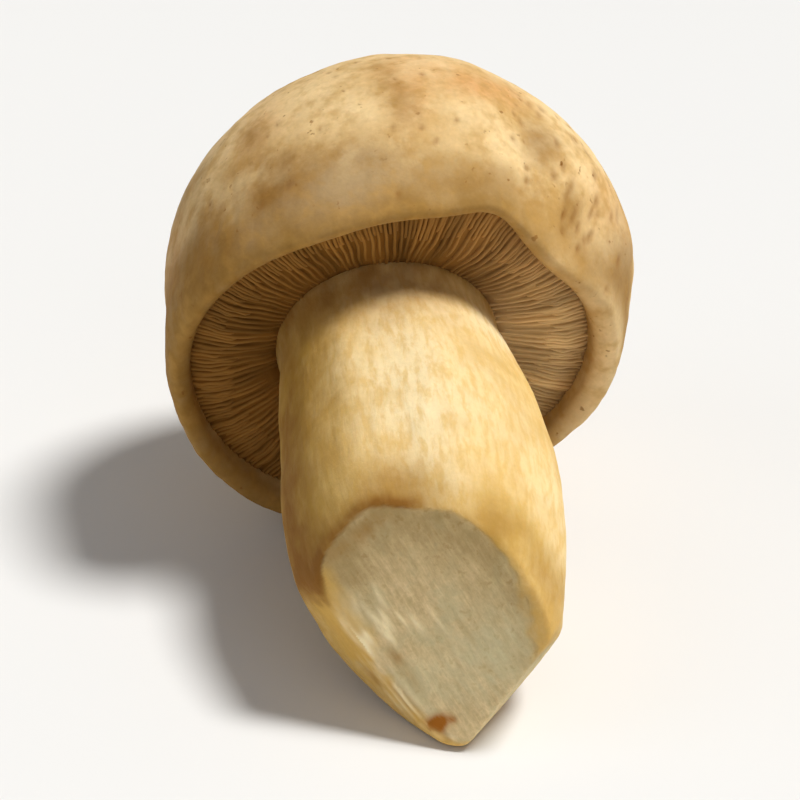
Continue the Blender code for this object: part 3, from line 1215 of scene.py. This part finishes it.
    def _plate(self) -> Array:
        """Grid of the flesh that the blades stand out of, wrapped round its own section.

        Its front runs at a set share of the way from the seat to the blades' edges, more by the stem.

        Returns:
            The grid of points.
        """
        edge, seat = np.array(self.edge), np.array(self.seat)
        back = even_spacing(seat, self.plate_points)
        front = back[::-1].copy()
        tip = np.interp(front[:, 0], edge[:, 0], edge[:, 1])
        share = self.filled + self.filled_at_stem * rise(*self.plate_rise, front[:, 0])
        front[:, 1] += share * (tip - front[:, 1])
        section = np.concatenate([back, front])
        return from_polar(section[:, :1], even_bearings(self.plate_columns), section[:, 1:])

    def _layers(self, points: Array, depth: Array, tone: Array) -> dict[Layer, Array]:
        """Layers of the gills: painted light on the side that opens, and painted shade by the stem and
        by its lip.

        Args:
            points: Points of the even ring.
            depth: Depth from the blades' edges at each.
            tone: Tone at each.

        Returns:
            The layers.
        """
        radius, bearing, _ = polar(points)
        by_stem = rise(*self.stem_reach, radius) * (self.stem_shade + self.lit_side_less_shade.at(bearing))
        by_lip = rise(*self.lip_reach, radius) * self.lip_shade.at(bearing)
        return {Layer.DEPTH: depth, Layer.TONE: tone, Layer.PALE: self.painted_light_side.at(bearing),
                Layer.BROWN: by_stem + by_lip}

    def build(self) -> bpy.types.Object:
        """Make the gills' mesh.

        Returns:
            The piece.
        """
        blades, depth, tone = self._blades()
        plate = self._plate()
        draft = Draft()
        draft.add(self.rim.carry(blades), self._blade_faces(len(blades)), NO_TRIANGLES,
                  self._layers(blades, depth, tone))
        draft.add_ring(self.rim.carry(plate),
                       self._layers(plate, np.ones(plate.shape[:2]), self._bundled(plate)))
        return draft.piece("gills_fine", self.lying)

    def dress(self, piece: bpy.types.Object) -> None:
        """Give the gills their flesh and put them in the solid's place."""
        put_in_place(piece, GillFlesh().material(), "gills")


@dataclass(frozen=True)
class KnifeCut:
    """One flat cut: its outward normal and its distance from the local origin."""

    normal: tuple[float, float, float]
    distance: float

    def unit(self) -> Array:
        """Unit normal."""
        normal = np.array(self.normal)
        return normal / np.linalg.norm(normal)

    def beyond(self, points: Array) -> Array:
        """Distance of points past the cut, below 0 inside."""
        return points @ self.unit() - self.distance


@dataclass
class Stem:
    """Stout stem swollen in the middle, its foot trimmed by three knife cuts.

    A station is a height, the radius there and how far the axis is bent towards +X. The tears are
    wisps, partly a painted highlight, dark marks that are partly stains and partly painted shade,
    cooler flesh, browner flesh that is partly painted shade, and the red spot. A ridge or a groove
    is a place across the cut's left edge and a width, in millimetres, and a strength; ridges carry a
    painted highlight and grooves painted shade. A wave is turns round the stem, a start in degrees
    and a strength.
    """

    lying: Lying
    stations: tuple[tuple[float, float, float], ...] = (
        (0.0106, 0.0208, 0.0), (0.0, 0.0210, 0.0), (-0.0120, 0.0226, 0.0008), (-0.0250, 0.0243, 0.0015),
        (-0.0400, 0.0256, 0.0017), (-0.0550, 0.0248, 0.0017), (-0.0680, 0.0227, 0.0016),
        (-0.0800, 0.0190, 0.0015), (-0.0890, 0.0134, 0.0014), (-0.0950, 0.0070, 0.0014))
    broad: KnifeCut = KnifeCut((-0.352, -0.453, -0.819), 0.0628)
    right: KnifeCut = KnifeCut((0.702, 0.307, -0.642), 0.0635)
    left: KnifeCut = KnifeCut((-0.785, 0.200, -0.586), 0.0530)
    heart: tuple[float, float, float] = (0.0016, 0.0, -0.0450)
    fibre: tuple[float, float, float] = (0.485, 0.659, -0.574)
    softness: float = 0.014
    flutes: float = 0.0006 / 0.0453
    collar: float = 0.0008
    columns: int = 440
    rows: int = 220
    tints: tuple[Tint, ...] = (
        # Cream with painted light, mostly on the uppermost side and at the top right.
        Tint(Layer.PALE, 51, 0.006, Marks((
            (-3, -33, 20, 22, 1.1), (30, -40, 24, 16, 0.35), (35, -14, 24, 6, 0.5),
            (58, -10, 18, 4.2, 1.2), (-30, -23, 10, 6, 0.3), (54, -54, 13, 11, 0.35),
            (80, -62, 18, 12, 0.9), (4, -56, 10, 7, 0.6), (120, -35, 30, 18, 0.45),
            (-150, -30, 30, 16, 0.35)))),
        # Ochre wash, heaviest on the left side, where it is partly painted shade.
        Tint(Layer.RIM, 53, 0.005, Marks((
            (-56, -40, 17, 26, 0.6), (-14, -60, 22, 5, 0.4), (-78, -35, 20, 40, 0.8),
            (30, -67, 20, 5.5, 0.5), (60, -72, 18, 6, 0.4), (-60, -15, 20, 8, 0.5),
            (160, -60, 60, 12, 0.6), (-130, -40, 25, 25, 0.5)))),
        # Brown stains, partly painted shade: on the left side, and in the band under the gills where the
        # cap's shadow falls.
        Tint(Layer.BROWN, 52, 0.0045, Marks((
            (-74, -32, 17, 30, 0.95), (-72, -63, 20, 8, 0.9), (-25, -61.5, 24, 3, 0.7),
            (-110, -45, 26, 26, 0.3), (-84, -54, 12, 14, 0.85), (28, -67, 14, 4.5, 0.3),
            (-30, 1, 70, 8.5, 0.6), (65, 1, 50, 4.5, 0.35), (-46, -30, 12, 20, 0.22),
            (-16, -57, 14, 5, 0.4), (-10, -8, 45, 7.5, 0.35), (60, -72, 16, 5, 0.3),
            (180, 0, 90, 6, 0.45), (170, -60, 40, 15, 0.4), (0, 4.5, 400, 3, 1)))))
    tears: tuple[tuple[Layer, Marks], ...] = (
        # Wisps and bright tufts, partly a painted highlight.
        (Layer.RIDGE, Marks((
            (26.2, 4.3, 2.4, 0.6, 1), (25.6, 5.4, 1.8, 0.4, 0.75), (21.5, 2.9, 2.2, 0.5, 0.5),
            (22.2, 4, 1.8, 0.4, 0.45), (22.5, 6.5, 2, 0.4, 0.45), (28.1, 8.5, 2, 0.4, 0.6),
            (26.6, 0.7, 2.2, 0.8, 1), (25.5, 1.9, 2, 0.4, 0.55), (26.2, 7.2, 1.8, 0.3, 0.4),
            (30, 11, 2, 0.4, 0.35), (21.8, 1.2, 3, 1.3, 0.38), (23.8, -0.8, 2.6, 1.2, 0.42)))),
        # Dark marks by the ridges, partly brown stain and partly painted shade.
        (Layer.DEPTH, Marks((
            (30.2, 3.4, 2.2, 1, 0.55), (34, 3, 3, 0.8, 0.35), (31.4, -4.9, 2.2, 1.4, 0.7),
            (14, 11, 1.4, 3, 0.6), (14, 5, 1.2, 3, 0.5)))),
        (Layer.COOL, Marks((
            (37.2, 14.5, 6, 8, 0.75), (36, 5, 4, 3, 0.3)))),
        # Browner flesh at the upper left of the cut, partly painted shade.
        (Layer.GREY, Marks((
            (14, 3.2, 5, 3, 0.75), (21, -0.2, 5, 1.6, 0.4)))),
        (Layer.SPECK, Marks((
            (41, 0.4, 1.3, 1.4, 1.15), (40.6, 2, 1, 1.4, 1), (41.4, 3.4, 0.6, 0.7, 0.9)))))
    # Ridges carry a painted highlight and grooves painted shade.
    ridges: tuple[Line, ...] = ((0.1, 0.5, 1), (-2, 0.5, 0.7), (1.7, 0.4, 0.6), (-4.3, 0.6, 0.5))
    grooves: tuple[Line, ...] = ((-0.9, 0.6, 1), (1, 0.4, 0.8))
    waves: tuple[Line, ...] = ((7, 0, 1), (11, 50, 0.6))
    skin_relief: Relief = Relief(((31, 3.4, 0.11, 0.14), (32, 13, 0.26, 1), (33, 1.2, 0.05, 0.4)))
    fibre_relief: Relief = Relief(((34, 1, 0.07, 1),))
    cut_relief: Relief = Relief(((36, 7, 0.16, 1),))
    fibre_squeeze: float = 0.80
    skin_squeeze: float = 0.30
    ridge_height: float = 0.00045
    groove_depth: float = 0.00032
    bevel: float = 0.0030
    weave: Swing = Swing(39, 0.006, 0.0006)
    life: Swing = Swing(35, 0.0045, 0.6)
    torn_from: tuple[float, float] = (0.0265, 0.0290)
    fray: Swing = Swing(40, 0.0007, 0.45)
    roughness: Swing = Swing(37, 0.0030, 1.0, 3)
    wobble: Swing = Swing(38, 0.0022, 0.006, 2)
    soft_side: Lobe = Lobe(62.0, 26.0, 0.9)
    brown_edge: Lobe = Lobe(-48.0, 45.0, 0.4)
    # Strength of the far edge's darker colour, partly painted shade.
    far_edge: float = 0.95
    side_points: int = 600
    disc_rows: int = 7
    foot_rows: int = 11
    disc_hole: float = 0.0005
    foot_hole: float = 0.0003
    flute_top: tuple[float, float] = (-0.020, -0.002)
    skin_top: tuple[float, float] = (-0.0005, 0.0015)
    worn_from: float = 0.060
    bevel_run: tuple[float, float] = (0.0300, 0.0250)
    strip_from: float = 0.0010
    strip_full: float = -0.0006
    strip_slant: float = 0.4
    strip_fray: float = 0.0006
    brown_drawn: tuple[float, float] = (-0.015, 0.040)
    brown_heights: tuple[float, float] = (-0.045, -0.058)
    far_drawn: tuple[float, float] = (0.0, 0.28)
    far_side: tuple[float, float] = (0.0060, -0.0050)
    collar_place: tuple[float, float] = (0.0018, 0.0042)

    def _through(self, column: int, height: Array) -> Array:
        """Smooth curve through one column of the stations, by cubics that share their slopes.

        Args:
            column: Column of the stations.
            height: Where to read it.

        Returns:
            Its values.
        """
        table = np.array(self.stations)[::-1]
        places, values = table[:, 0], table[:, column]
        slopes = np.gradient(values, places)
        index = np.clip(np.searchsorted(places, height) - 1, 0, len(places) - 2)
        span = places[index + 1] - places[index]
        t = np.clip((height - places[index]) / span, 0.0, 1.0)
        start = (2 * t**3 - 3 * t**2 + 1) * values[index] + (t**3 - 2 * t**2 + t) * span * slopes[index]
        end = (3 * t**2 - 2 * t**3) * values[index + 1] + (t**3 - t**2) * span * slopes[index + 1]
        return start + end

    def _bulb(self) -> Array:
        """Grid of the untrimmed stem: top disc, side by the stations, and a flat foot.

        The flutes are a sum of sines of the bearing, a share of the radius high, and fade out
        towards the top.

        Returns:
            The grid of points, fluted lengthwise and bent as the stations say.
        """
        top, bottom = self.stations[0][0], self.stations[-1][0]
        heights = np.linspace(top, bottom, self.side_points)
        side = np.stack([self._through(1, heights), heights], axis=1)
        disc = np.stack([np.linspace(self.disc_hole, side[0, 0], self.disc_rows + 1)[:-1],
                         np.full(self.disc_rows, top)], axis=1)
        foot = np.stack([np.linspace(side[-1, 0], self.foot_hole, self.foot_rows + 1)[1:],
                         np.full(self.foot_rows, bottom)], axis=1)
        lower = even_spacing(np.concatenate([side, foot]), self.rows - self.disc_rows)
        profile = np.concatenate([disc, lower])
        points = from_polar(profile[:, :1], even_bearings(self.columns), profile[:, 1:])
        radius, bearing, height = polar(points)
        waves = sum(strength * np.sin(np.radians(turns * bearing + start))
                    for turns, start, strength in self.waves)
        depth = self.flutes * (1.0 - rise(*self.flute_top, height)) * radius
        moved = from_polar(radius + depth * waves, bearing, height)
        moved[..., 0] += self._through(2, height)
        return moved

    def _trim(self, points: Array) -> tuple[Array, Array]:
        """Draw points beyond the cuts back to them, along the line from the stem's heart.

        Each cut allows a share of the way from the heart to the point, and the bulb allows all of
        it. The smooth least of the shares, minus the log of the summed e to the minus share over the
        softness, rounds the edges between the cuts a little.

        Args:
            points: Grid of the untrimmed stem.

        Returns:
            The trimmed points, and the share of the way that each was drawn back.
        """
        heart = np.array(self.heart)
        away = points - heart
        shares = [np.ones(points.shape[:2])]
        for cut in (self.broad, self.right, self.left):
            toward = (away @ cut.unit()).clip(1e-6)
            shares.append((-cut.beyond(heart) / toward).clip(0.0, 4.0))
        stack = np.stack(shares)
        least = -self.softness * np.log(np.exp(-(stack - stack.min(axis=0)) / self.softness).sum(axis=0))
        share = stack.min(axis=0) + least
        low = rise(-0.035, -0.050, points[..., 2])
        share = 1.0 + (share - 1.0) * low
        return heart + away * share[..., None], (1.0 - stack[1:].min(axis=0)) * low

    def _fibre_space(self, points: Array, on_cut: Array) -> Array:
        """Points in a space squeezed along the fibres, so that even noise there makes streaks.

        Args:
            points: Points of the trimmed stem.
            on_cut: How far each is on the cut flesh, where the fibres slant.

        Returns:
            The points, squeezed along the slant on the cuts and along the stem elsewhere.
        """
        along = np.array(self.fibre) / np.linalg.norm(self.fibre)
        slanting = points - self.fibre_squeeze * (points @ along)[..., None] * along
        straight = points * np.array([1.0, 1.0, self.skin_squeeze])
        return np.where((on_cut > 0.5)[..., None], slanting, straight)

    def _edge_run(self, points: Array) -> Array:
        """Place of each point along the edge between the broad and the left cut."""
        return points @ np.cross(self.broad.unit(), self.left.unit())

    def _torn(self, points: Array, drawn: Array) -> dict[Layer, Array]:
        """Marks on the cuts, and the torn ridges and grooves along the broad cut's left edge, the ridges
        partly a painted highlight and the grooves partly painted shade.

        Ridges and grooves are bells of the distance across that edge, positive on the broad cut and
        negative on the left cut, and noise along the edge makes them come and go.

        Args:
            points: Points of the trimmed stem.
            drawn: Share of the way that each was drawn back.

        Returns:
            The marks' layers, from 0 to 1.
        """
        inward, sideways = -self.left.beyond(points), -self.broad.beyond(points)
        across = np.where(inward > sideways, inward, -sideways)
        along = self._edge_run(points)
        level = np.zeros_like(along)
        run = np.stack([along, across * 0.3, level], axis=-1)
        across = across + self.weave.at(run)
        lively = (0.65 + self.life.at(run)).clip(0.0, 1.0) * rise(*self.torn_from, along)
        frayed = 1.0 + self.fray.at(np.stack([along * 0.35, across, level], axis=-1))
        on_cut = rise(0.0, 0.02, drawn)
        found = {layer: marks.on_cut(along, across) * frayed for layer, marks in self.tears}
        for layer, lines in ((Layer.RIDGE, self.ridges), (Layer.DEPTH, self.grooves)):
            found[layer] = found[layer] + lively * sum(
                strength * bell(across, middle * MM, width * MM) for middle, width, strength in lines)
        return {layer: (strength * on_cut).clip(0.0, 1.0) for layer, strength in found.items()}

    def _relief(self, points: Array, drawn: Array, fibre_points: Array,
                torn: dict[Layer, Array]) -> Array:
        """Height of the surface over the trimmed form.

        It is the skin's noise where the stem wasn't cut, the fibres' noise where it was, and the
        torn ridges less the grooves.

        Args:
            points: Points of the trimmed stem.
            drawn: Share of the way that each was drawn back.
            fibre_points: The points in fibre space.
            torn: Marks on the cuts.

        Returns:
            Heights in metres.
        """
        cut_and_painted_light = rise(0.0, self.worn_from, drawn)
        skin = (1.0 - cut_and_painted_light) * (1.0 - rise(*self.skin_top, points[..., 2]))
        cut = self.fibre_relief.at(fibre_points) + self.cut_relief.at(points)
        tears = self.ridge_height * torn[Layer.RIDGE] - self.groove_depth * torn[Layer.DEPTH]
        return self.skin_relief.at(points) * skin + cut * cut_and_painted_light + tears

    def _colour_layers(self, points: Array, drawn: Array, height: Array,
                       inward: Array) -> dict[Layer, Array]:
        """Tints of the skin, partly painted light and shade, the strip on the left cut and the browner
        edges of the broad cut, the far one partly painted shade.

        The strip is a smooth step of the distance from the left cut, wider where that edge is
        bevelled. Each brown edge is a bell of the share drawn back, limited to its own side.

        Args:
            points: Points of the finished surface.
            drawn: Share of the way that each was drawn back.
            height: Heights of the trimmed form.
            inward: Distances from the left cut.

        Returns:
            The layers, on the same grid.
        """
        _, bearing, _ = polar(points)
        rough = self.roughness.at(points)
        bevel = self.bevel * rise(*self.bevel_run, self._edge_run(points))
        strip = rise(self.strip_from + bevel, self.strip_full + self.strip_slant * bevel,
                     inward + self.strip_fray * rough)
        layers = {tint.layer: tint.paint(points, bearing, height) for tint in self.tints}
        layers[Layer.STRIP] = strip * rise(0.0, 0.02, drawn)
        edge = bell(drawn, *self.brown_drawn) * self.brown_edge.at(bearing) * (0.8 + 0.5 * rough)
        brown = layers[Layer.BROWN] + edge * rise(*self.brown_heights, height)
        layers[Layer.BROWN] = brown.clip(0.0, 1.0)
        # The far edge's darker colour is partly painted shade.
        far_edge = bell(drawn, *self.far_drawn) * rise(*self.far_side, points[..., 1])
        layers[Layer.GREY] = self.far_edge * far_edge * (1.0 + 0.4 * rough)
        return layers

    def build(self) -> bpy.types.Object:
        """Make the stem's mesh with its skin, its cuts, the torn ridge and its colour layers.

        Returns:
            The piece.
        """
        points, drawn = self._trim(self._bulb())
        _, bearing, height = polar(points)
        inward = -self.left.beyond(points)
        beside = rise(0.0030, -0.0010, inward) + self.soft_side.at(bearing)
        wobble = self.wobble.at(points) * (1.0 + 4.0 * beside)
        on_cut = rise(0.002 + 0.05 * beside, 0.022 + 0.14 * beside, drawn + wobble)
        fibre_points = self._fibre_space(points, on_cut)
        torn = self._torn(points, drawn)
        lift = self._relief(points, drawn, fibre_points, torn)
        points = points + outward(points) * lift[..., None]
        radius, bearing, _ = polar(points)
        swelling = self.collar * bell(height, *self.collar_place)
        points = from_polar(radius + swelling, bearing, height)
        layers = self._colour_layers(points, drawn, height, inward)
        torn[Layer.GREY] = (torn[Layer.GREY] + layers[Layer.GREY]).clip(0.0, 1.0)
        torn[Layer.DEPTH] = 0.8 * torn[Layer.DEPTH]
        layers |= torn | {Layer.CUT: on_cut, Layer.GRAIN: fibre_points}
        draft = Draft()
        draft.add_turned(points, layers)
        return draft.piece("stem_fine", self.lying)

    def dress(self, piece: bpy.types.Object) -> None:
        """Give the stem its flesh and put it in the solid's place."""
        put_in_place(piece, StemFlesh().material(), "stem")


def put_in_place(piece: bpy.types.Object, material: bpy.types.Material, node: str) -> None:
    """Dress a piece and let it ride on the body in the place of its solid.

    Args:
        piece: The fine piece.
        material: Its finish.
        node: The solid that it stands for.
    """
    piece.data.materials.append(material)
    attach(piece, BODY)
    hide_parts(node)
    LOG.info("%s stands for %s with %d faces", piece.name, node, len(piece.data.polygons))


@dataclass(frozen=True)
class Lamp:
    """A soft light by the direction it comes from: far off if it has no size, else a square."""

    name: str
    toward: tuple[float, float, float]
    power: float
    colour: Colour
    spread: float = 0.0
    distance: float = 1.5
    size: float = 0.0

    def hang(self, aim: Vector) -> None:
        """Hang the lamp and turn it to the aim.

        Args:
            aim: The place that it shines at.
        """
        light = bpy.data.lights.new(self.name, "AREA" if self.size else "SUN")
        light.energy, light.color = self.power, self.colour
        if self.size:
            light.size = self.size
        else:
            light.angle = self.spread
        lamp = bpy.data.objects.new(self.name, light)
        direction = Vector(self.toward).normalized()
        lamp.location = aim + direction * self.distance
        lamp.rotation_euler = direction.to_track_quat("Z", "Y").to_euler()
        bpy.context.scene.collection.objects.link(lamp)


@dataclass
class Studio:
    """Plain pale floor, soft lights and the camera at the photograph's viewing angle."""

    aim: tuple[float, float, float] = (-0.0033, -0.0030, 0.0387)
    azimuth: float = -7.4
    elevation: float = 27.5
    distance: float = 0.55
    lens: float = 129.6
    sensor: float = 36.0
    floor_half: float = 4.0
    floor_drop: float = 0.0001
    floor_roughness: float = 0.8
    floor_colour: Colour = (0.80, 0.80, 0.795)
    sky_low: Colour = (0.92, 0.92, 0.92)
    sky_high: Colour = (0.16, 0.16, 0.165)
    sky_band: tuple[float, float] = (0.05, 0.24)
    lamps: tuple[Lamp, ...] = (
        Lamp("key", (0.44, -0.07, 0.89), 3.25, (1.0, 0.985, 0.955), spread=math.radians(15.0)),
        Lamp("fill", (0.20, -0.85, 0.45), 2.6, (1.0, 0.985, 0.96), distance=1.6, size=1.2),
        Lamp("side", (-0.80, -0.15, 0.60), 2.4, (1.0, 0.985, 0.96), distance=1.6, size=1.0))

    def _floor(self) -> None:
        """Lay the floor, which shows from above only, so that the underside can be looked at."""
        place = (0.0, 0.0, -self.floor_drop)
        bpy.ops.mesh.primitive_plane_add(size=2.0 * self.floor_half, location=place)
        floor = bpy.context.object
        floor.name = "studio_floor"
        graph = Graph.material("floor_finish")
        front = graph.node("ShaderNodeBsdfPrincipled", None,
                           {"Base Color": self.floor_colour, "Roughness": self.floor_roughness})
        clear = graph.node("ShaderNodeBsdfTransparent")
        below = graph.node("ShaderNodeNewGeometry", output="Backfacing")
        graph.finish(graph.node("ShaderNodeMixShader", None, {0: below, 1: front, 2: clear}))
        floor.data.materials.append(graph.owner)

    def _sky(self) -> None:
        """Even light from all round: pale about the horizon and dimmer overhead."""
        world = bpy.data.worlds.new("studio_world")
        bpy.context.scene.world = world
        graph = Graph(world)
        toward = graph.node("ShaderNodeTexCoord", output="Generated")
        height = graph.node("ShaderNodeSeparateXYZ", None, {0: toward}, "Z")
        colour = graph.blend(height.band(*self.sky_band), self.sky_low, self.sky_high)
        graph.finish(graph.node("ShaderNodeBackground", None, {"Color": colour, "Strength": 1.0}))

    def _camera(self) -> None:
        """Set the camera on its line of sight to the aim."""
        turn, up = math.radians(self.azimuth), math.radians(self.elevation)
        back = Vector((math.sin(turn) * math.cos(up), -math.cos(turn) * math.cos(up), math.sin(up)))
        data = bpy.data.cameras.new("camera")
        data.lens, data.sensor_width = self.lens, self.sensor
        camera = bpy.data.objects.new("camera", data)
        camera.location = Vector(self.aim) + back * self.distance
        camera.rotation_euler = back.to_track_quat("Z", "Y").to_euler()
        bpy.context.scene.collection.objects.link(camera)
        bpy.context.scene.camera = camera

    def build(self) -> None:
        """Set up floor, sky, lamps and camera."""
        bpy.context.scene.view_settings.view_transform = "Standard"
        self._floor()
        self._sky()
        for lamp in self.lamps:
            lamp.hang(Vector(self.aim))
        self._camera()


def main() -> None:
    logging.basicConfig(level=logging.INFO, format="%(name)s: %(message)s")
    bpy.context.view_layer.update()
    Studio().build()
    rim, lying = Rim(), Lying()
    for part in (Cap(rim, lying), Gills(rim, lying), Stem(lying)):
        part.dress(part.build())


if __name__ == "__main__":
    main()
